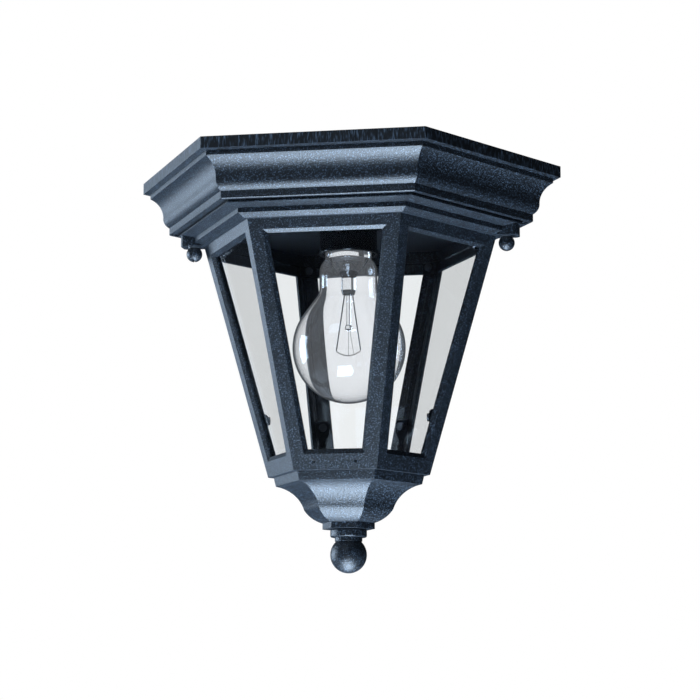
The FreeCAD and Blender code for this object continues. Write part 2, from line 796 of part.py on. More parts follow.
def make_cage_frame():
    body = new_body("cage_frame")
    inner_top = s.cage_top_corner - wall_level / FLAT
    inner_bottom = s.cage_bottom_corner - wall_level / FLAT
    for name, kind, top, bottom in (
            ("CageBody", "PartDesign::AdditiveLoft", s.cage_top_corner, s.cage_bottom_corner),
            ("CageHollow", "PartDesign::SubtractiveLoft", inner_top, inner_bottom)):
        upper = new_sketch(body, name + "Top", "XY", cage_top_z)
        draw_outline(upper, hexagon(top))
        lower = new_sketch(body, name + "Bottom", "XY", -s.cage_bottom_drop)
        draw_outline(lower, hexagon(bottom))
        loft = body.newObject(kind, name)
        loft.Profile = upper
        loft.Sections = [lower]
        loft.Ruled = True

    flange_flat = s.flange_corner * FLAT
    slope_flat = cage_top_flat + s.flange_ledge
    lip_flat = s.flange_lip_corner * FLAT
    moulding(body, "TopFlange", [
        (inner_top * FLAT, flange_top_z), (inner_top * FLAT, cage_top_z),
        (slope_flat, cage_top_z), (flange_flat, flange_band_z),
        (flange_flat, flange_band_top_z), (lip_flat, flange_lip_z),
        (lip_flat, flange_top_z)], s.flange_lip_corner)

    ledge = new_sketch(body, "FloorLedge", "XY", -s.cage_bottom_drop)
    draw_outline(ledge, hexagon(s.cage_bottom_corner - s.cage_wall * 0.5))
    draw_outline(ledge, hexagon(s.ledge_opening))
    pad(body, "Ledge", ledge, s.ledge_thickness)

    ear = new_sketch(body, "EarOutline", "XY", cage_top_z)
    half, root_x = s.ear_width * 0.5, s.cage_top_corner - s.ear_root
    draw_outline(ear, [
        (root_x, -half),
        (ear_reach - s.ear_round, -half, s.ear_round, CCW),
        (ear_reach, s.ear_round - half),
        (ear_reach, half - s.ear_round, s.ear_round, CCW),
        (ear_reach - s.ear_round, half),
        (root_x, half)])
    ear_pad = pad(body, "Ear", ear, flange_height)
    around(body, "Ears", [ear_pad], 2)
    ear_hole = new_sketch(body, "EarHoleOutline", "XY", flange_top_z + 1)
    draw_circle(ear_hole, stud_hole_x, 0, s.ear_hole_diameter * 0.5)
    hole = pocket(body, "EarHole", ear_hole, flange_height + 2)
    around(body, "EarHoles", [hole], 2)

    outer = leaning_sketch(body, "WindowBevelOuter", as_size(0))
    draw_outline(outer, panel_outline(window_top_drop, window_bottom_drop, s.stile_width))
    inner = leaning_sketch(body, "WindowBevelInner", s.bevel_depth)
    bevel_drop = s.window_bevel * lean_cosine
    reveal = panel_outline(window_top_drop + bevel_drop, window_bottom_drop - bevel_drop,
                           s.stile_width + s.window_bevel)
    draw_outline(inner, reveal)
    bevel = body.newObject("PartDesign::SubtractiveLoft", "WindowBevel")
    bevel.Profile = outer
    bevel.Sections = [inner]
    bevel.Ruled = True
    through = leaning_sketch(body, "WindowReveal", as_size(0))
    draw_outline(through, reveal)
    window = pocket(body, "WindowCut", through, s.cage_wall * 2)
    around(body, "Windows", [bevel, window], CORNER_COUNT)

    for name, drop in (("LowerStopScrewHole", lower_screw_drop),
                       ("UpperStopScrewHole", upper_screw_drop)):
        drill = new_sketch(body, name + "Outline", "YZ", cage_corner(drop) - s.stop_screw_skin)
        draw_circle(drill, 0, -drop, s.stop_screw_diameter * 0.5 + s.press_gap)
        tapped = pocket(body, name, drill, s.cage_wall * 2)
        around(body, name + "s", [tapped], CORNER_COUNT)

    weep = new_sketch(body, "WeepHoleOutline", "XZ", cage_bottom_flat - s.cage_wall * 2)
    for side in (1, -1):
        draw_circle(weep, s.weep_hole_offset * side,
                    -s.cage_bottom_drop + s.bottom_rail * 0.5, s.weep_hole_diameter * 0.5)
    body.Tip = pocket(body, "WeepHoles", weep, s.cage_wall * 4, forward=True)


def make_panes():
    """Six flat panes that lie against the inside of the cage, one behind each window."""
    hands = ("front", "front_right", "back_right", "back", "back_left", "front_left")
    for turn, hand in enumerate(hands):
        body = new_body("glass_pane_" + hand)
        outline = leaning_sketch(body, "Pane" + hand, s.cage_wall + s.pane_gap)
        top_drop = window_top_drop - s.pane_top_cover
        bottom_drop = -ledge_top_z - s.pane_gap
        draw_outline(outline, panel_outline(top_drop, bottom_drop, s.pane_margin))
        pad(body, "Sheet" + hand, outline, s.pane_thickness, down=True)
        body.Placement = FreeCAD.Placement(
            FreeCAD.Vector(0, 0, 0),
            FreeCAD.Rotation(FreeCAD.Vector(0, 0, 1), turn * 360.0 / CORNER_COUNT))


def make_glass_stops(label, drop, height, inner, width, rounding):
    """Blocks in the six inside corners that press two neighbouring panes against the cage."""
    body = new_body(label)
    plan = new_sketch(body, label + "Plan", "XY", -drop)
    outer = cage_corner(drop)
    draw_outline(plan, rectangle(inner, outer, -width * 0.5, width * 0.5))
    block = pad(body, label + "Block", plan, height, down=True)
    around(body, label + "Blocks", [block], CORNER_COUNT)
    slope = leaning_sketch(body, label + "Slope", stop_face)
    reach = cage_corner(drop)
    draw_outline(slope, rectangle(-reach, reach, -slant(drop + height) * 1.2, reach))
    trim = pocket(body, label + "Trim", slope, outer, forward=True)
    cuts = around(body, label + "Trims", [trim], CORNER_COUNT)
    bore = new_sketch(body, label + "BoreOutline", "YZ", inner - 1)
    screw_drop = lower_screw_drop if label.startswith("lower") else upper_screw_drop
    draw_circle(bore, 0, -screw_drop, s.stop_screw_diameter * 0.5 + s.press_gap)
    bored = pocket(body, label + "Bore", bore, outer, forward=True)
    bores = around(body, label + "Bores", [bored], CORNER_COUNT)

    def top_inner_edge(edge):
        box = edge.BoundBox
        level = abs(box.ZMax + drop.value) < 1e-4 and box.ZLength < 1e-4
        middle = edge.CenterOfMass
        inside = math.hypot(middle.x, middle.y) < inner.value + 0.01
        return level and inside and edge.Length > width.value - 0.01
    body.Tip = round_edges(body, label + "Rounding", bores, rounding, top_inner_edge)


def make_stop_screws():
    body = new_body("glass_stop_screws")
    features = []
    for name, drop, inner in (("Lower", lower_screw_drop, s.lower_stop_inner),
                              ("Upper", upper_screw_drop, s.upper_stop_inner)):
        tip = cage_corner(drop) - s.stop_screw_skin - s.seat_gap
        shank = new_sketch(body, name + "ShankOutline", "YZ", inner - s.seat_gap)
        draw_circle(shank, 0, -drop, s.stop_screw_diameter * 0.5)
        features.append(pad(body, name + "Shank", shank, tip - inner + s.seat_gap))
        head = new_sketch(body, name + "HeadOutline", "YZ", inner - s.seat_gap)
        draw_circle(head, 0, -drop, s.stop_head_diameter * 0.5)
        features.append(pad(body, name + "Head", head, s.stop_head_height, down=True))
    around(body, "StopScrews", features, CORNER_COUNT)


# ---------------------------------------------------------------- base plate, cup and finial

shank_radius = s.shank_diameter * 0.5
plate_top_z = ledge_top_z + s.seat_gap + s.base_plate_thickness
cup_top_z = -s.cage_bottom_drop - s.seat_gap
cup_flat = s.cup_corner * FLAT
band_bottom_z = cup_top_z - s.cup_band_height
shoulder_flat = cup_flat - s.cup_band_taper - s.cup_shoulder
shoulder_z = band_bottom_z - s.cup_shoulder_drop
cove_flat = shoulder_flat - s.cup_cove_depth
cove_z = shoulder_z - s.cup_cove_height
roll_flat = cove_flat - s.cup_roll_depth
roll_z = cove_z - s.cup_roll_height
collar_flat = s.cup_collar_corner * FLAT
collar_z = roll_z - s.cup_collar_height
disc_bottom_z = collar_z - s.seat_gap - s.disc_height
neck_bottom_z = disc_bottom_z - s.seat_gap - s.neck_height


def make_base_plate():
    body = new_body("base_plate")
    outline = new_sketch(body, "PlateOutline", "XY", ledge_top_z + s.seat_gap)
    draw_outline(outline, hexagon(s.base_plate_corner))
    draw_circle(outline, 0, 0, shank_radius + s.shank_hole_gap)
    pad(body, "Plate", outline, s.base_plate_thickness)


def make_cup():
    body = new_body("bottom_cup")
    wall = s.cup_wall
    hub = shank_radius + s.shank_hole_gap + wall
    moulding(body, "CupMoulding", [
        (cup_flat, cup_top_z),
        (cup_flat - wall, cup_top_z),
        (shoulder_flat - wall * 0.8, shoulder_z + wall * 0.7),
        (cove_flat - wall * 0.2, shoulder_z - s.cup_cove_height * 0.42),
        (cove_flat - wall, cove_z),
        (roll_flat - wall * 0.4, roll_z + wall * 1.4),
        (hub * FLAT, roll_z + wall * 1.4),
        (hub * FLAT, collar_z),
        (collar_flat, collar_z),
        (collar_flat, roll_z),
        (roll_flat, roll_z, s.cup_roll_radius, CCW),
        (cove_flat, cove_z, s.cup_cove_radius, CW),
        (shoulder_flat, shoulder_z),
        (cup_flat - s.cup_band_taper, band_bottom_z)], s.cup_corner)
    centre = new_sketch(body, "HubOutline", "XY", collar_z)
    draw_circle(centre, 0, 0, hub + wall * 0.5)
    pad(body, "Hub", centre, s.cup_collar_height + wall)
    bore = new_sketch(body, "HubBoreOutline", "XY", collar_z - 1)
    draw_circle(bore, 0, 0, shank_radius + s.shank_hole_gap)
    body.Tip = pocket(body, "HubBore", bore, s.cup_collar_height + wall + 6, forward=True)


def make_finial():
    disc, rounding = s.disc_diameter * 0.5, s.disc_round
    disc_top_z = collar_z - s.seat_gap
    hole = shank_radius + s.shank_hole_gap
    turned("finial_disc", [
        (hole, disc_top_z), (hole, disc_bottom_z),
        (disc - rounding, disc_bottom_z, rounding, CCW),
        (disc, disc_bottom_z + rounding),
        (disc, disc_top_z - rounding, rounding, CCW),
        (disc - rounding, disc_top_z)])

    ball, throat = s.finial_ball_diameter * 0.5, s.throat_diameter * 0.5
    centre_z = neck_bottom_z - root(ball * ball - throat * throat)
    neck = s.neck_diameter * 0.5
    shank_top_z = plate_top_z + s.finial_nut_height + s.shank_above_nut
    turned("finial_ball", [
        (0, shank_top_z),
        (0, centre_z - ball, ball, CCW),
        (ball, centre_z, ball, CCW),
        (throat, neck_bottom_z),
        (neck - s.neck_chamfer, neck_bottom_z),
        (neck, neck_bottom_z + s.neck_chamfer),
        (neck, disc_bottom_z - s.seat_gap),
        (shank_radius, disc_bottom_z - s.seat_gap),
        (shank_radius, shank_top_z - s.shank_chamfer),
        (shank_radius - s.shank_chamfer, shank_top_z)])

    hex_nut("finial_nut", s.finial_nut_flats, s.finial_nut_height,
            plate_top_z + s.finial_nut_height, shank_radius + s.press_gap)


# ---------------------------------------------------------------- ball nuts that hold the cage

def make_ball_nuts():
    """A washer and a slotted ball nut under each ear, left with their slots at these angles."""
    bore = s.cage_stud_diameter * 0.5 + s.thread_gap
    for side, hand, slot_angle in ((-1, "left", 90), (1, "right", 35)):
        washer_top_z = cage_top_z - s.seat_gap
        washer_z = washer_top_z - s.washer_thickness
        washer = turned("washer_" + hand, rectangle(
            s.washer_hole_diameter * 0.5, s.washer_diameter * 0.5, washer_z, washer_top_z))
        place(washer, stud_hole_x * side, 0)

        seat_z = washer_z - s.seat_gap
        ball, neck = s.ball_nut_diameter * 0.5, s.ball_nut_neck * 0.5
        centre_z = seat_z - s.ball_nut_height + ball
        neck_z = centre_z + root(ball * ball - neck * neck)
        floor_z = seat_z - s.ball_nut_bore_depth
        nut = turned("ball_nut_" + hand, [
            (bore, seat_z),
            (bore, floor_z),
            (0, floor_z - s.drill_point),
            (0, centre_z - ball, ball, CCW),
            (ball, centre_z, ball, CCW),
            (neck, neck_z),
            (neck, seat_z)])
        driver = new_sketch(nut, "DriverSlot" + hand, "XY", centre_z - ball)
        half = s.slot_width * 0.5
        draw_outline(driver, rectangle(-ball, ball, -half, half))
        nut.Tip = pocket(nut, "DriverSlotCut" + hand, driver, s.slot_depth, forward=True)
        place(nut, stud_hole_x * side, 0, slot_angle)


# ---------------------------------------------------------------- bulb

BASE_THREAD_TURNS = 4
bulb_tip_z = holder_floor_z - s.contact_thickness - s.contact_button_height - s.seat_gap
eyelet_base_z = bulb_tip_z - s.eyelet_height
insulator_base_z = eyelet_base_z - s.insulator_height
base_bottom_z = insulator_base_z - s.base_shell_length
seal_top_z = base_bottom_z + s.bulb_seal_inside
seal_bottom_z = seal_top_z - s.bulb_seal_height
stem_bottom_z = seal_top_z - s.stem_length
bulb_bottom_z = bulb_tip_z - s.bulb_length
bulb_radius = s.bulb_diameter * 0.5
bulb_centre_z = bulb_bottom_z + bulb_radius


def make_bulb_glass():
    """Blown envelope: a round belly, a hollow shoulder tangent to it, and a neck sealed in the base."""
    wall = s.bulb_glass_wall
    belly_x = bulb_radius * cosine(s.bulb_shoulder_angle)
    belly_z = bulb_centre_z + bulb_radius * sine(s.bulb_shoulder_angle)
    flare = (belly_x - s.bulb_neck_radius) / (as_size(1) - cosine(s.bulb_shoulder_angle))
    neck_z = belly_z + flare * sine(s.bulb_shoulder_angle)
    inner = bulb_radius - wall
    inner_x = inner * cosine(s.bulb_shoulder_angle)
    inner_z = bulb_centre_z + inner * sine(s.bulb_shoulder_angle)
    neck, seal, rounding = s.bulb_neck_radius, s.bulb_seal_radius, s.bulb_neck_round
    left_over = rounding - (neck - seal)
    round_bottom_z = seal_bottom_z - root(rounding * rounding - left_over * left_over)
    turned("bulb_glass", [
        (0, bulb_bottom_z, bulb_radius, CCW),
        (bulb_radius, bulb_centre_z, bulb_radius, CCW),
        (belly_x, belly_z, flare, CW),
        (neck, neck_z),
        (neck, round_bottom_z, rounding, CCW),
        (seal, seal_bottom_z),
        (seal, seal_top_z),
        (seal - wall, seal_top_z),
        (seal - wall, seal_bottom_z, rounding, CW),
        (neck - wall, round_bottom_z),
        (neck - wall, neck_z, flare + wall, CCW),
        (inner_x, inner_z, inner, CW),
        (inner, bulb_centre_z, inner, CW),
        (0, bulb_bottom_z + wall)])


def make_bulb_base():
    """Screw shell with rounded threads, insulator and centre contact of a 26 mm base."""
    crest, wall = s.base_thread_radius, s.base_shell_wall
    trough = crest - s.base_thread_depth
    pitch = s.base_thread_pitch
    turns = BASE_THREAD_TURNS
    wave = (pitch * pitch / 16 + s.base_thread_depth * s.base_thread_depth / 4) / s.base_thread_depth
    first_z = insulator_base_z - 1.2
    # crests bulge outward, troughs inward, in arcs a half pitch long
    outline = [(s.eyelet_radius + 3.6, insulator_base_z), (trough - 0.5, insulator_base_z)]
    middle = (trough + crest) * 0.5
    for turn in range(turns):
        outline.append((middle, first_z - pitch * turn, wave, CW))
        outline.append((middle, first_z - pitch * (turn + 0.5), wave, CCW))
    outline += [
        (middle, first_z - pitch * turns),
        (crest, first_z - pitch * turns - 0.6),
        (crest, base_bottom_z),
        (crest - wall, base_bottom_z),
        (crest - wall, first_z - pitch * turns - 0.6),
        (trough - wall - 0.2, first_z - pitch * turns),
        (trough - wall - 0.2, insulator_base_z - wall),
        (s.eyelet_radius + 3.6, insulator_base_z - wall)]
    turned("bulb_base_shell", outline)

    lip = trough - 0.9
    turned("bulb_insulator", [
        (0, eyelet_base_z), (0, insulator_base_z + 0.4), (s.eyelet_radius + 3.4, insulator_base_z),
        (lip, insulator_base_z), (lip, insulator_base_z + 0.5),
        (s.eyelet_radius + 0.4, eyelet_base_z - 0.3), (s.eyelet_radius, eyelet_base_z)])
    turned("bulb_eyelet", [
        (0, eyelet_base_z), (s.eyelet_radius, eyelet_base_z),
        (s.eyelet_radius, eyelet_base_z + 0.4), (s.eyelet_radius * 0.6, bulb_tip_z),
        (0, bulb_tip_z)])


def make_bulb_mount():
    """Glass stem and arbor, two lead wires and the filament hung between them."""
    stem, arbor = s.stem_radius, s.arbor_radius
    flare = s.bulb_seal_radius - s.bulb_glass_wall - s.press_gap
    button_z = stem_bottom_z - s.arbor_length
    turned("bulb_stem", [
        (0, seal_top_z),
        (0, button_z - arbor),
        (arbor * 1.5, button_z - arbor * 0.4),
        (arbor * 1.5, button_z + arbor * 0.6),
        (arbor, button_z + arbor * 1.4),
        (arbor, stem_bottom_z),
        (stem * 0.8, stem_bottom_z),
        (stem, stem_bottom_z + stem * 0.5),
        (stem, seal_top_z - s.stem_flare_height),
        (flare, seal_bottom_z),
        (flare, seal_top_z)])


def wire_run(body, name, path, start, radius):
    """A round wire along an open path sketch, from a circle drawn where the path starts."""
    end_face = new_sketch(body, name + "End", *start[:2])
    draw_circle(end_face, start[2], start[3], radius)
    run = body.newObject("PartDesign::AdditivePipe", name)
    run.Profile = end_face
    run.Spine = (path, [])
    run.Mode = "Standard"
    return run


def open_path(body, name, points):
    """A run of straight lines, or one arc when its first point carries a radius and a turn."""
    path = new_sketch(body, name, "XZ")
    for index, (here, there) in enumerate(zip(points, points[1:])):
        start, end = (FreeCAD.Vector(as_size(p[0]).value, as_size(p[1]).value, 0)
                      for p in (here, there))
        swapped = False
        if len(here) == 4:
            curve, swapped = arc_through(start, end, as_size(here[2]).value, here[3])
        else:
            curve = Part.LineSegment(start, end)
        path.addGeometry(curve, False)
        first, last = (2, 1) if swapped else (1, 2)
        for spot, corner in ((first, here), (last, there)):
            pin_down(path, "DistanceX", index, spot, corner[0])
            pin_down(path, "DistanceY", index, spot, corner[1])
        if len(here) == 4:
            pin_down(path, "Radius", index, here[2])
    return path


def make_filament():
    top_z = stem_bottom_z - s.seat_gap
    hang_z = stem_bottom_z - s.lead_length
    leads = []
    for side, hand in ((1, "Right"), (-1, "Left")):
        body = new_body("LeadWire" + hand, keep=False)
        path = open_path(body, "LeadPath" + hand, [
            (s.lead_spread_top * side, top_z),
            (s.lead_spread_bottom * side, hang_z)])
        wire_run(body, "Lead" + hand, path,
                 ("XY", top_z, s.lead_spread_top * side, 0), s.lead_radius)
        leads.append(body)
    gather("bulb_lead_wires", leads)

    body = new_body("bulb_filament")
    end_x = s.lead_spread_bottom
    end_z = hang_z - s.filament_radius
    bow = (end_x * end_x + s.filament_sag * s.filament_sag) / (s.filament_sag * 2)
    path = open_path(body, "FilamentPath", [(-end_x, end_z, bow, CCW), (end_x, end_z)])
    wire_run(body, "Filament", path, ("YZ", -end_x, 0, end_z), s.filament_radius)


for make in (make_canopy, make_strap, make_canopy_hangers, make_ground_screw, make_cage_studs,
             make_lampholder, make_cage_frame, make_panes):
    make()
make_glass_stops("lower_glass_stops", s.lower_stop_drop, s.lower_stop_height,
                 s.lower_stop_inner, s.lower_stop_width, s.lower_stop_round)
make_glass_stops("upper_glass_stops", s.upper_stop_drop, s.upper_stop_height,
                 s.upper_stop_inner, s.upper_stop_width, s.upper_stop_round)
for make in (make_stop_screws, make_base_plate, make_cup, make_finial, make_ball_nuts,
             make_bulb_glass, make_bulb_base, make_bulb_mount, make_filament):
    make()
doc.recompute()

# ---------------------------------------------------------------- test and write

failed = [item.Name for item in doc.Objects if {"Invalid", "Error"} & set(item.State)]
for item in subparts:
    if item.Shape.isNull() or not item.Shape.isValid():
        failed.append(item.Label)
if failed:
    raise RuntimeError("failed: " + ", ".join(failed))
for item in subparts:
    item.Shape.exportStep(f"parts/{item.Label}.step")
    box = item.Shape.BoundBox
    print(f"{item.Label}: {len(item.Shape.Solids)} solids, {item.Shape.Volume:.1f} mm3, "
          f"x {box.XMin:.1f} {box.XMax:.1f}, z {box.ZMin:.1f} {box.ZMax:.1f}")
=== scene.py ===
import bpy
import math
from mathutils import Matrix, Vector


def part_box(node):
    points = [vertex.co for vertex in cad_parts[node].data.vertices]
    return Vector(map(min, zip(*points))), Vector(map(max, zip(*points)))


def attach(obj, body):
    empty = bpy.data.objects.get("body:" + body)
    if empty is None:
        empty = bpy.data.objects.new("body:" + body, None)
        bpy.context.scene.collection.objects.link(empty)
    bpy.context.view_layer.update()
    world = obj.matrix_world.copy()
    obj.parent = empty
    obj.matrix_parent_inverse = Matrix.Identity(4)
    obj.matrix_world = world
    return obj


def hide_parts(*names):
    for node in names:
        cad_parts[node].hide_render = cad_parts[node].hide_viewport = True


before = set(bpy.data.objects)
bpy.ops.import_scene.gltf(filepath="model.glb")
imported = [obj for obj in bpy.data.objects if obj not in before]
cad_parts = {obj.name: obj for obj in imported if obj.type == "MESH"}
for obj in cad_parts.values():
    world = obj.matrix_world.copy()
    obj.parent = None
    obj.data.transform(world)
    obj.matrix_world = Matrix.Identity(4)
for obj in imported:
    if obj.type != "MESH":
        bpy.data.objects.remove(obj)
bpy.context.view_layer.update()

# Canopy: a cast-aluminium ceiling plate with a crown moulding mitred round a hexagon, finished
# like the rest of the castings in a blue-black powder coat with a fine sandy grain. The bulk is
# the CAD solid; here its arrises get the small radius that a casting and its coat leave.
COAT_DARK = (0.0022, 0.0032, 0.0048, 1.0)
COAT_LIGHT = (0.10, 0.135, 0.18, 1.0)
COAT_ROUGHNESS = 0.38
COAT_SPECULAR = 0.7
SPECK_START = 0.53
SPECK_FULL = 0.70
COAT_GRAIN = 1500.0
COAT_GRAIN_DETAIL = 2.0
COAT_GRAIN_HEIGHT = 0.00028
COAT_GRAIN_STRENGTH = 0.8
FASCIA_FOOT = -0.0062
STRIATION_STRETCH = 0.15
CASTING_ARRIS = 0.0007
CASTING_ARRIS_STEPS = 2
CASTING_SHARPEST = math.radians(20)
MESH_WELD = 0.00001


def plain_finish(name, colour, roughness, metallic=0.0, more=None):
    """A material of one colour, with any more inputs of its shader by name."""
    finish = bpy.data.materials.new(name)
    finish.use_nodes = True
    values = {"Base Color": colour, "Roughness": roughness, "Metallic": metallic, **(more or {})}
    for label, value in values.items():
        finish.node_tree.nodes["Principled BSDF"].inputs[label].default_value = value
    return finish


def grain(tree, scale, detail, stretch=None):
    """Noise fixed to the piece, as the grain of a coat, a casting or a drawn metal."""
    place = tree.nodes.new("ShaderNodeTexCoord").outputs["Object"]
    if stretch:
        stretched = tree.nodes.new("ShaderNodeMapping")
        stretched.inputs["Scale"].default_value = stretch
        tree.links.new(place, stretched.inputs["Vector"])
        place = stretched.outputs["Vector"]
    noise = tree.nodes.new("ShaderNodeTexNoise")
    noise.inputs["Scale"].default_value = scale
    noise.inputs["Detail"].default_value = detail
    tree.links.new(place, noise.inputs["Vector"])
    return noise.outputs["Fac"]


def shade_range(tree, source, low, high, dark, light):
    """Turn grain between low and high into a run from a dark colour to a light one."""
    ramp = tree.nodes.new("ShaderNodeValToRGB")
    ramp.color_ramp.elements[0].position = low
    ramp.color_ramp.elements[0].color = dark
    ramp.color_ramp.elements[1].position = high
    ramp.color_ramp.elements[1].color = light
    tree.links.new(source, ramp.inputs["Fac"])
    return ramp.outputs["Color"]


def raise_grain(finish, source, height, strength):
    """Let the grain stand up from the surface, by a height in metres."""
    tree = finish.node_tree
    bump = tree.nodes.new("ShaderNodeBump")
    bump.inputs["Distance"].default_value = height
    bump.inputs["Strength"].default_value = strength
    tree.links.new(source, bump.inputs["Height"])
    tree.links.new(bump.outputs["Normal"], tree.nodes["Principled BSDF"].inputs["Normal"])


def upright_strokes(tree, speckle):
    """Stretch the speckle upright above the foot of the canopy's fascia, where it is brushed."""
    strokes = grain(tree, COAT_GRAIN, COAT_GRAIN_DETAIL, (1.0, 1.0, STRIATION_STRETCH))
    place = tree.nodes.new("ShaderNodeTexCoord")
    height = tree.nodes.new("ShaderNodeSeparateXYZ")
    tree.links.new(place.outputs["Object"], height.inputs["Vector"])
    above = tree.nodes.new("ShaderNodeMath")
    above.operation = "GREATER_THAN"
    above.inputs[1].default_value = FASCIA_FOOT
    tree.links.new(height.outputs["Z"], above.inputs[0])
    mixed = tree.nodes.new("ShaderNodeMix")
    tree.links.new(above.outputs["Value"], mixed.inputs["Factor"])
    tree.links.new(speckle, mixed.inputs["A"])
    tree.links.new(strokes, mixed.inputs["B"])
    return mixed.outputs["Result"]


def sandy_coat(name, striated=False):
    """The castings' coat: dark, with a fine raised speckle that catches the light."""
    finish = plain_finish(name, COAT_DARK, COAT_ROUGHNESS,
                          more={"Specular IOR Level": COAT_SPECULAR})
    tree = finish.node_tree
    speckle = grain(tree, COAT_GRAIN, COAT_GRAIN_DETAIL)
    if striated:
        speckle = upright_strokes(tree, speckle)
    colour = shade_range(tree, speckle, SPECK_START, SPECK_FULL, COAT_DARK, COAT_LIGHT)
    tree.links.new(colour, tree.nodes["Principled BSDF"].inputs["Base Color"])
    raise_grain(finish, speckle, COAT_GRAIN_HEIGHT, COAT_GRAIN_STRENGTH)
    return finish


def paint(node, finish):
    """Give a CAD node a finish in all its material slots."""
    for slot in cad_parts[node].material_slots:
        slot.material = finish


def soften_arrises(node):
    """Round a casting's sharp edges with modifiers, which leave its CAD mesh as it came."""
    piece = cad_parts[node]
    weld = piece.modifiers.new("joined_faces", "WELD")
    weld.merge_threshold = MESH_WELD
    arris = piece.modifiers.new("cast_arris", "BEVEL")
    arris.width = CASTING_ARRIS
    arris.segments = CASTING_ARRIS_STEPS
    arris.limit_method = "ANGLE"
    arris.angle_limit = CASTING_SHARPEST
    piece.modifiers.new("even_shading", "WEIGHTED_NORMAL")


paint("canopy", sandy_coat("striated_sandy_coat", striated=True))
soften_arrises("canopy")

# Strap and its fixings: a zinc-plated pressed steel strap that screws to the ceiling box, two
# threaded studs that hang the canopy on it, their plain nuts, the black cap nuts under the deck
# and the green earth screw. The two studs that carry the cage are cut in the same way.
BRUSHED_GRAIN = 900.0
BRUSHED_DETAIL = 3.0
BRUSHED_HEIGHT = 0.0001
STUD_RADIUS = 0.00208
STUD_THREAD_PITCH = 0.000794
STUD_THREAD_DEPTH = 0.00028
STUD_SIDES = 24
ROWS_PER_TURN = 6


def metal(name, colour, roughness, brushed=0.0):
    """A bare or plated metal; brushed is how strongly its grain shows."""
    finish = plain_finish(name, colour, roughness, 1.0)
    if brushed:
        source = grain(finish.node_tree, BRUSHED_GRAIN, BRUSHED_DETAIL)
        raise_grain(finish, source, BRUSHED_HEIGHT, brushed)
    return finish


def mesh_piece(name, points, faces, finish, body):
    """A smooth-shaded piece that rides on a body."""
    mesh = bpy.data.meshes.new(name)
    mesh.from_pydata([tuple(p) for p in points], [], faces)
    mesh.materials.append(finish)
    for face in mesh.polygons:
        face.use_smooth = True
    piece = bpy.data.objects.new(name, mesh)
    bpy.context.scene.collection.objects.link(piece)
    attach(piece, body)
    return piece


def ring_faces(rows, sides, first=0):
    """Four-sided faces between rings of points, and a cap at each end."""
    faces = []
    for row in range(rows - 1):
        for side in range(sides):
            here = first + row * sides + side
            there = first + row * sides + (side + 1) % sides
            faces.append((here, there, there + sides, here + sides))
    faces.append(tuple(first + side for side in reversed(range(sides))))
    faces.append(tuple(first + (rows - 1) * sides + side for side in range(sides)))
    return faces


def threaded_stud(x, y, low, high, radius, first):
    """Points and faces of a machine-screw stud standing at x, y."""
    rows = int((high - low) / STUD_THREAD_PITCH * ROWS_PER_TURN) + 1
    points = []
    for row in range(rows):
        z = low + (high - low) * row / (rows - 1)
        for side in range(STUD_SIDES):
            angle = 2 * math.pi * side / STUD_SIDES
            phase = (z / STUD_THREAD_PITCH - side / STUD_SIDES) % 1.0
            reach = radius - STUD_THREAD_DEPTH * abs(2 * phase - 1)
            if row in (0, rows - 1):
                reach = radius - STUD_THREAD_DEPTH
            points.append((x + reach * math.cos(angle), y + reach * math.sin(angle), z))
    return points, ring_faces(rows, STUD_SIDES, first)


def pair_of_studs(name, node, centres, finish, body):
    """Two threaded studs as one piece, as high and as thick as the CAD node they replace."""
    low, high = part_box(node)
    radius = (high.y - low.y) / 2 - max(abs(y) for _, y in centres)
    points, faces = [], []
    for x, y in centres:
        more_points, more_faces = threaded_stud(x, y, low.z, high.z, radius, len(points))
        points += more_points
        faces += more_faces
    piece = mesh_piece(name, points, faces, finish, body)
    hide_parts(node)


zinc = metal("zinc_plate", (0.60, 0.62, 0.65, 1.0), roughness=0.32, brushed=0.15)
black_plate = metal("black_plate", (0.035, 0.038, 0.044, 1.0), roughness=0.38, brushed=0.2)
stud_finish = metal("stud_plate", (0.48, 0.50, 0.53, 1.0), roughness=0.30)
earth_green = metal("earth_screw_dye", (0.05, 0.32, 0.10, 1.0), roughness=0.35)
paint("mounting_strap", zinc)
paint("strap_nuts", zinc)
paint("canopy_cap_nuts", black_plate)
paint("ground_screw", earth_green)
canopy_stud_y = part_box("canopy_studs")[1].y - STUD_RADIUS
pair_of_studs("canopy_stud_threads", "canopy_studs",
              [(0.0, canopy_stud_y), (0.0, -canopy_stud_y)], stud_finish, "canopy_mount")
cage_stud_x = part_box("cage_studs")[1].x - STUD_RADIUS
pair_of_studs("cage_stud_threads", "cage_studs",
              [(cage_stud_x, 0.0), (-cage_stud_x, 0.0)], stud_finish, "canopy_mount")

# Lampholder: a glossy black moulded holder with a rolled aluminium screw shell and a spring
# contact, carried under the deck on a zinc-plated bracket with four small screws.
moulding = plain_finish("black_moulding", (0.006, 0.007, 0.009, 1.0), 0.2,
                        more={"Specular IOR Level": 1.0})
paint("lampholder_body", moulding)
shell_metal = metal("rolled_aluminium", (0.30, 0.31, 0.33, 1.0), roughness=0.35)
paint("lampholder_shell", shell_metal)
paint("lampholder_contact", metal("spring_brass", (0.70, 0.52, 0.24, 1.0), roughness=0.3))
paint("lampholder_bracket", zinc)
paint("bracket_screws", zinc)

# Cage: one casting with a wide top flange, six tapered windows with bevelled reveals, two ears
# and a floor ledge, in the same coat as the canopy.
coat = sandy_coat("blue_black_sandy_coat")
paint("cage_frame", coat)
soften_arrises("cage_frame")

# Panes: six flat clear sheets that lie against the inside of the cage, each held at its corners.
# Their index of refraction is set lower here than real glass has, for the likeness.
PANE_TINT = (0.95, 0.965, 0.97, 1.0)
PANE_IOR = 1.33


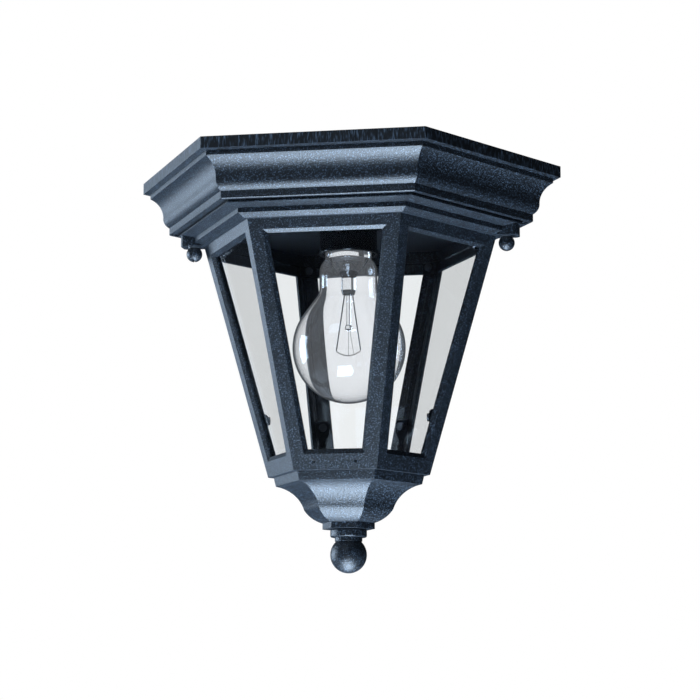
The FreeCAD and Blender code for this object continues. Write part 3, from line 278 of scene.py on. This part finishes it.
def clear_glass(name, tint, ior, more=None):
    """Polished glass; more names further inputs of its shader, or changes those given here."""
    return plain_finish(name, tint, 0.0,
                        more={"Transmission Weight": 1.0, "IOR": ior, **(more or {})})


pane_finish = clear_glass("pane_glass", PANE_TINT, PANE_IOR)
for hand in ("front", "front_right", "back_right", "back", "back_left", "front_left"):
    paint("glass_pane_" + hand, pane_finish)

# Glass stops: blackened steel blocks in the six corners, above and below, and the twelve small
# screws that draw them against the panes.
paint("lower_glass_stops", black_plate)
paint("upper_glass_stops", black_plate)
paint("glass_stop_screws", metal("dull_zinc_plate", (0.16, 0.17, 0.19, 1.0), roughness=0.45))

# Base plate, cup and finial: the plate covers the opening in the cage floor, and a long screw on
# the ball finial draws the ogee cup and the round disc up against it.
paint("base_plate", black_plate)
paint("bottom_cup", coat)
soften_arrises("bottom_cup")
paint("finial_disc", coat)
paint("finial_ball", coat)
paint("finial_nut", zinc)

# Ball nuts: two slotted round nuts with a plain washer each, which hold the cage by its ears.
for hand in ("left", "right"):
    paint("washer_" + hand, zinc)
    paint("ball_nut_" + hand, coat)

# Bulb: a clear pear-shaped lamp with a 26 mm screw base. Its envelope is turned here, with a round
# belly, a straight shoulder and a neck drawn in and sealed inside the base. The stem, lead wires
# and base are the CAD solids; the filament is wound here as a fine coil, with its supports.
BULB_WALL = 0.0009
BULB_SHOULDER = math.radians(36)
NECK_RADIUS = 0.0156
THROAT_ROUND = 0.008
SEAL_RADIUS = 0.0125
SEAL_HEIGHT = 0.0086
SEAL_ROUND = 0.009
BELLY_STEPS = 36
THROAT_STEPS = 8
SEAL_STEPS = 10
BULB_SIDES = 96
BULB_TINT = (0.99, 0.99, 1.0, 1.0)
BULB_IOR = 1.45
BULB_CLEARNESS = 0.99
# A faint painted glow on the bulb's envelope, in place of the light that the glass gives back; the
# bulb itself is not lit.
BULB_PAINTED_GLOW_COLOUR = (0.88, 0.93, 1.0, 1.0)
BULB_PAINTED_GLOW = 0.022
STEM_TINT = (0.93, 0.94, 0.95, 1.0)
STEM_IOR = 1.5
COIL_RADIUS = 0.00030
COIL_WIRE = 0.00007
COIL_TURNS = 60
POINTS_PER_TURN = 10
SUPPORT_WIRE = 0.00012
SUPPORT_HOOKS = (0.0, 0.0030)
SUPPORT_GATHER = 0.2
SUPPORT_SEAT = 0.001


def arc(centre_x, centre_z, radius, start, end, steps):
    """Points along an arc, with its angles measured from outward towards up."""
    angles = [start + (end - start) * step / steps for step in range(steps + 1)]
    return [(centre_x + radius * math.cos(a), centre_z + radius * math.sin(a)) for a in angles]


def bulb_profile(bottom_z, top_z, belly, inset):
    """One skin of the bulb from its lowest point to the seal, set in from the outer skin."""
    centre_z = bottom_z + belly
    throat = THROAT_ROUND + inset
    throat_x = NECK_RADIUS - inset + throat
    slope_x = (belly - inset) * math.cos(BULB_SHOULDER)
    slope_z = centre_z + (belly - inset) * math.sin(BULB_SHOULDER)
    run = (slope_x - throat_x + throat * math.cos(BULB_SHOULDER)) / math.sin(BULB_SHOULDER)
    throat_z = slope_z + run * math.cos(BULB_SHOULDER) + throat * math.sin(BULB_SHOULDER)
    seal_z = top_z - SEAL_HEIGHT
    seal_x = NECK_RADIUS - SEAL_ROUND
    seal_turn = math.acos((SEAL_RADIUS - seal_x) / SEAL_ROUND)
    neck_z = seal_z - SEAL_ROUND * math.sin(seal_turn)
    points = arc(0.0, centre_z, belly - inset, -math.pi / 2, BULB_SHOULDER, BELLY_STEPS)
    points += arc(throat_x, throat_z, throat, math.pi + BULB_SHOULDER, math.pi, THROAT_STEPS)
    points += arc(seal_x - inset, neck_z, SEAL_ROUND, 0.0, seal_turn, SEAL_STEPS)
    points.append((SEAL_RADIUS - inset, top_z))
    return points


def turned_shell(name, outline, finish, body):
    """Turn an outline that starts and ends on the axis."""
    rings = outline[1:-1]
    points = [(0.0, 0.0, outline[0][1])]
    for x, z in rings:
        for side in range(BULB_SIDES):
            angle = 2 * math.pi * side / BULB_SIDES
            points.append((x * math.cos(angle), x * math.sin(angle), z))
    points.append((0.0, 0.0, outline[-1][1]))
    last = len(points) - 1
    faces = []
    for side in range(BULB_SIDES):
        after = (side + 1) % BULB_SIDES
        faces.append((0, 1 + after, 1 + side))
        for row in range(len(rings) - 1):
            here = 1 + row * BULB_SIDES + side
            there = 1 + row * BULB_SIDES + after
            faces.append((here, there, there + BULB_SIDES, here + BULB_SIDES))
        faces.append((last, last - BULB_SIDES + side, last - BULB_SIDES + after))
    return mesh_piece(name, points, faces, finish, body)


def wire(name, lines, thickness, finish, body, roundness=2):
    """Round wire along one or more runs of points."""
    curve = bpy.data.curves.new(name, "CURVE")
    curve.dimensions = "3D"
    curve.bevel_depth = thickness
    curve.bevel_resolution = roundness
    curve.use_fill_caps = True
    for line in lines:
        spline = curve.splines.new("POLY")
        spline.points.add(len(line) - 1)
        for point, spot in zip(spline.points, line):
            point.co = (*spot, 1.0)
    curve.materials.append(finish)
    piece = bpy.data.objects.new(name, curve)
    bpy.context.scene.collection.objects.link(piece)
    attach(piece, body)
    return piece


# The envelope's emission is painted glow: it stands in for light the glass gives back over what is
# seen through it.
bulb_finish = clear_glass("bulb_envelope", BULB_TINT, BULB_IOR,
                          more={"Transmission Weight": BULB_CLEARNESS,
                                "Emission Color": BULB_PAINTED_GLOW_COLOUR,
                                "Emission Strength": BULB_PAINTED_GLOW})
bulb_low, bulb_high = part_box("bulb_glass")
outer_skin = bulb_profile(bulb_low.z, bulb_high.z, bulb_high.x, 0.0)
inner_skin = bulb_profile(bulb_low.z, bulb_high.z, bulb_high.x, BULB_WALL)
envelope = turned_shell("bulb_envelope", outer_skin + inner_skin[::-1], bulb_finish, "bulb")
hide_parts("bulb_glass")
paint("bulb_stem", clear_glass("stem_glass", STEM_TINT, STEM_IOR))
paint("bulb_base_shell", shell_metal)
paint("bulb_insulator", plain_finish("black_glass_insulator", (0.01, 0.01, 0.012, 1.0), 0.12))
paint("bulb_eyelet", metal("solder", (0.55, 0.55, 0.56, 1.0), roughness=0.4))
nickel = metal("nickel_wire", (0.30, 0.31, 0.33, 1.0), roughness=0.35)
paint("bulb_lead_wires", nickel)

coil_low, coil_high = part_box("bulb_filament")
coil_end_x = -coil_low.x
coil_end_z = coil_high.z - COIL_RADIUS
coil_sag = coil_high.z - coil_low.z - 2 * COIL_RADIUS
coil_points = []
for step in range(COIL_TURNS * POINTS_PER_TURN + 1):
    share = step / (COIL_TURNS * POINTS_PER_TURN)
    turn = 2 * math.pi * step / POINTS_PER_TURN
    x = coil_end_x * (2 * share - 1)
    middle_z = coil_end_z - coil_sag * (1 - (2 * share - 1) ** 2)
    coil_points.append((x, COIL_RADIUS * math.cos(turn), middle_z + COIL_RADIUS * math.sin(turn)))
tungsten = metal("tungsten_coil", (0.16, 0.16, 0.17, 1.0), roughness=0.4)
filament = wire("filament_coil", [coil_points], COIL_WIRE, tungsten, "bulb",
                roundness=1)
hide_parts("bulb_filament")

stem_foot_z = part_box("bulb_stem")[0].z
support_lines = []
for x in SUPPORT_HOOKS:
    hang_z = coil_end_z - coil_sag * (1 - (x / coil_end_x) ** 2)
    support_lines.append([(x * SUPPORT_GATHER, 0.0, stem_foot_z + SUPPORT_SEAT), (x, 0.0, hang_z)])
wire("filament_supports", support_lines, SUPPORT_WIRE, nickel, "bulb")

# Studio: pale floor well below the lantern, a white surround, a large soft light on the left, a
# low one under the front, a weak high one in front, and a camera low in front, looking up a little.
FLOOR_Z = -0.95
FLOOR_HALF = 4.0
SURROUND_BLUE = (0.60, 0.76, 1.0, 1.0)
SURROUND_DARK = 0.04
BEFORE_FIRST_BOUNCE = 0.5
LAMP_BLUE = (0.62, 0.79, 1.0)
LANTERN_MIDDLE = (0.0, 0.0, -0.1)
CAMERA_TURN = math.radians(10.588)
CAMERA_RISE = math.radians(-8.759)
CAMERA_DISTANCE = 1.25406
CAMERA_AIM_Z = -0.0958
CAMERA_SHIFT_RIGHT = 0.000743
CAMERA_LENS = 120.315
CAMERA_SENSOR = 36.0


def studio_floor():
    """A pale square floor, level and far below the lantern."""
    mesh = bpy.data.meshes.new("studio_floor")
    corners = [(x * FLOOR_HALF, y * FLOOR_HALF, FLOOR_Z)
               for x, y in ((-1, -1), (1, -1), (1, 1), (-1, 1))]
    mesh.from_pydata(corners, [], [(0, 1, 2, 3)])
    mesh.materials.append(plain_finish("pale_floor", (0.82, 0.82, 0.82, 1.0), 0.7))
    floor = bpy.data.objects.new("studio_floor", mesh)
    bpy.context.scene.collection.objects.link(floor)


def soft_light(name, spot, aim, width, height, power):
    """A rectangular soft light at a spot, turned to face its aim."""
    lamp = bpy.data.lights.new(name, "AREA")
    lamp.shape = "RECTANGLE"
    lamp.size = width
    lamp.size_y = height
    lamp.energy = power
    lamp.color = LAMP_BLUE
    holder = bpy.data.objects.new(name, lamp)
    holder.location = spot
    direction = Vector(aim) - Vector(spot)
    holder.rotation_euler = direction.to_track_quat("-Z", "Y").to_euler()
    holder.visible_camera = False
    bpy.context.scene.collection.objects.link(holder)


def background(node, colour, strength):
    """Set a background node's colour and strength, and give the shader it makes."""
    node.inputs["Color"].default_value = colour
    node.inputs["Strength"].default_value = strength
    return node.outputs["Background"]


def compare(tree, operation, first, second):
    """Combine two values; the second may be a plain number."""
    node = tree.nodes.new("ShaderNodeMath")
    node.operation = operation
    tree.links.new(first, node.inputs[0])
    if isinstance(second, float):
        node.inputs[1].default_value = second
    else:
        tree.links.new(second, node.inputs[1])
    return node.outputs["Value"]


def white_surround():
    """White where it is seen directly or through glass, and a dim blue-grey everywhere else."""
    world = bpy.data.worlds.new("white_surround")
    world.use_nodes = True
    tree = world.node_tree
    seen = background(tree.nodes["Background"], (1.0, 1.0, 1.0, 1.0), 1.0)
    around = background(tree.nodes.new("ShaderNodeBackground"), SURROUND_BLUE, SURROUND_DARK)
    path = tree.nodes.new("ShaderNodeLightPath").outputs
    shows = compare(tree, "MAXIMUM", path["Is Camera Ray"], path["Is Transmission Ray"])
    bounces = compare(tree, "ADD", path["Diffuse Depth"], path["Glossy Depth"])
    direct = compare(tree, "LESS_THAN", bounces, BEFORE_FIRST_BOUNCE)
    blend = tree.nodes.new("ShaderNodeMixShader")
    tree.links.new(compare(tree, "MULTIPLY", shows, direct), blend.inputs["Fac"])
    tree.links.new(around, blend.inputs[1])
    tree.links.new(seen, blend.inputs[2])
    tree.links.new(blend.outputs["Shader"], tree.nodes["World Output"].inputs["Surface"])
    bpy.context.scene.world = world


studio_floor()
white_surround()
soft_light("left_softbox", (-1.4, 0.30, -0.05), LANTERN_MIDDLE,
           width=0.9, height=0.8, power=18.0)
soft_light("low_softbox", (0.0, -0.32, -0.92), (0.0, -0.32, 0.0),
           width=0.5, height=1.0, power=27.0)
soft_light("high_front_softbox", (-0.5, -1.3, 0.8), LANTERN_MIDDLE,
           width=0.6, height=0.6, power=2.5)

back = Vector((math.sin(CAMERA_TURN) * math.cos(CAMERA_RISE),
               -math.cos(CAMERA_TURN) * math.cos(CAMERA_RISE), math.sin(CAMERA_RISE)))
right = Vector((math.cos(CAMERA_TURN), math.sin(CAMERA_TURN), 0.0))
up = back.cross(right)
lens = bpy.data.cameras.new("studio_camera")
lens.lens = CAMERA_LENS
lens.sensor_width = CAMERA_SENSOR
camera = bpy.data.objects.new("studio_camera", lens)
camera.matrix_world = Matrix((
    (right.x, up.x, back.x, 0.0), (right.y, up.y, back.y, 0.0), (right.z, up.z, back.z, 0.0),
    (0.0, 0.0, 0.0, 1.0)))
aim = Vector((0, 0, CAMERA_AIM_Z))
camera.location = aim + back * CAMERA_DISTANCE + right * CAMERA_SHIFT_RIGHT
bpy.context.scene.collection.objects.link(camera)
bpy.context.scene.camera = camera
bpy.context.scene.view_settings.view_transform = "Standard"
